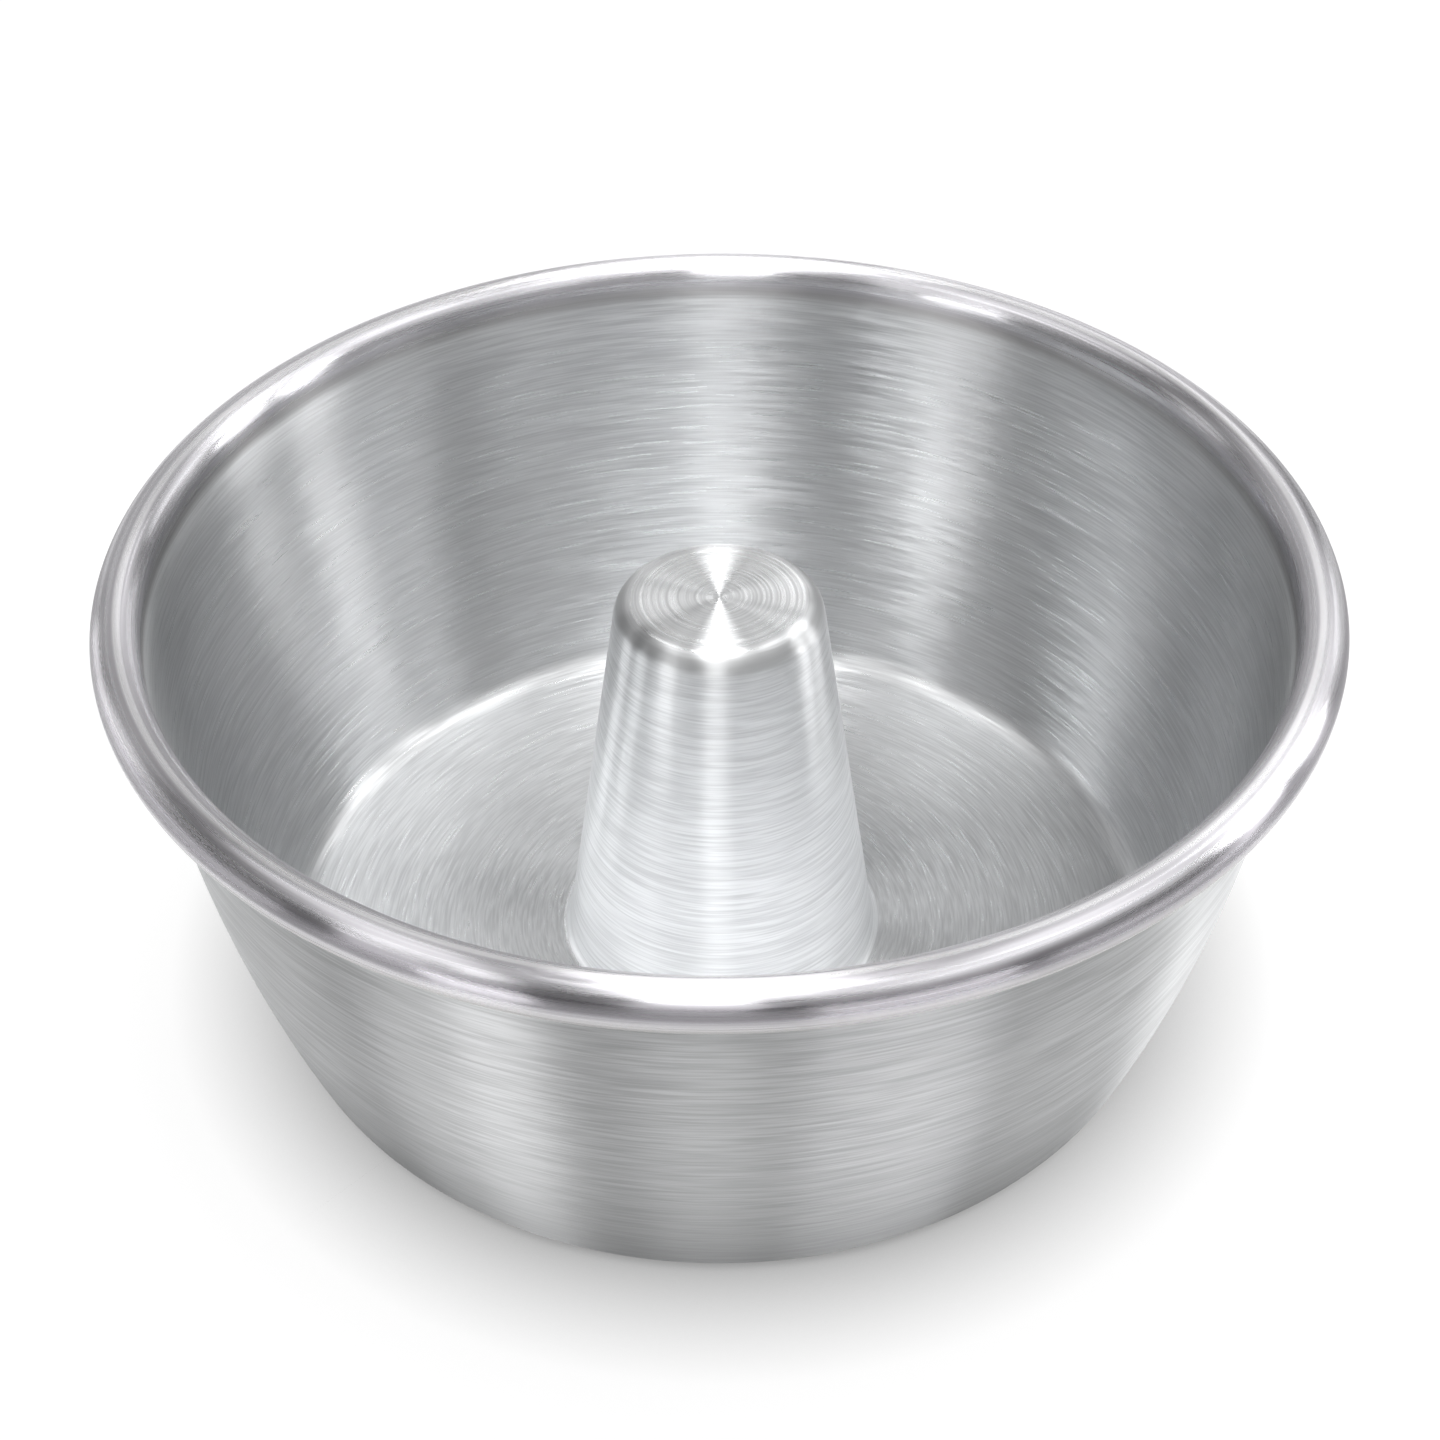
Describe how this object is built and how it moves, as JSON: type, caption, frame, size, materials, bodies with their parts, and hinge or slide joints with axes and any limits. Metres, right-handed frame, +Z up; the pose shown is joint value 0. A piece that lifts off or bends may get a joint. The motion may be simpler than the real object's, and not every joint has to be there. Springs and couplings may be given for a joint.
{
  "type": "flan mould",
  "caption": "Round flaring metal flan mould with a rolled rim and a closed hollow cone standing on its floor, for baking ring-shaped custards and cakes.",
  "frame": {"origin": "centre of the standing flat, on the table", "axes": "+Z up along the mould's axis; the mould is round, so X and Y are free"},
  "size_m": [0.22, 0.22, 0.092],
  "materials": {
    "pan_aluminium": "brushed in rings, rolled rim polished",
    "cone_aluminium": "brushed in rings, flat top turned",
    "wire_steel": "plain drawn"
  },
  "bodies": {
    "root": {"pan_shell": "pan_aluminium", "centre_cone": "cone_aluminium", "rim_wire": "wire_steel"}
  },
  "joints": []
}
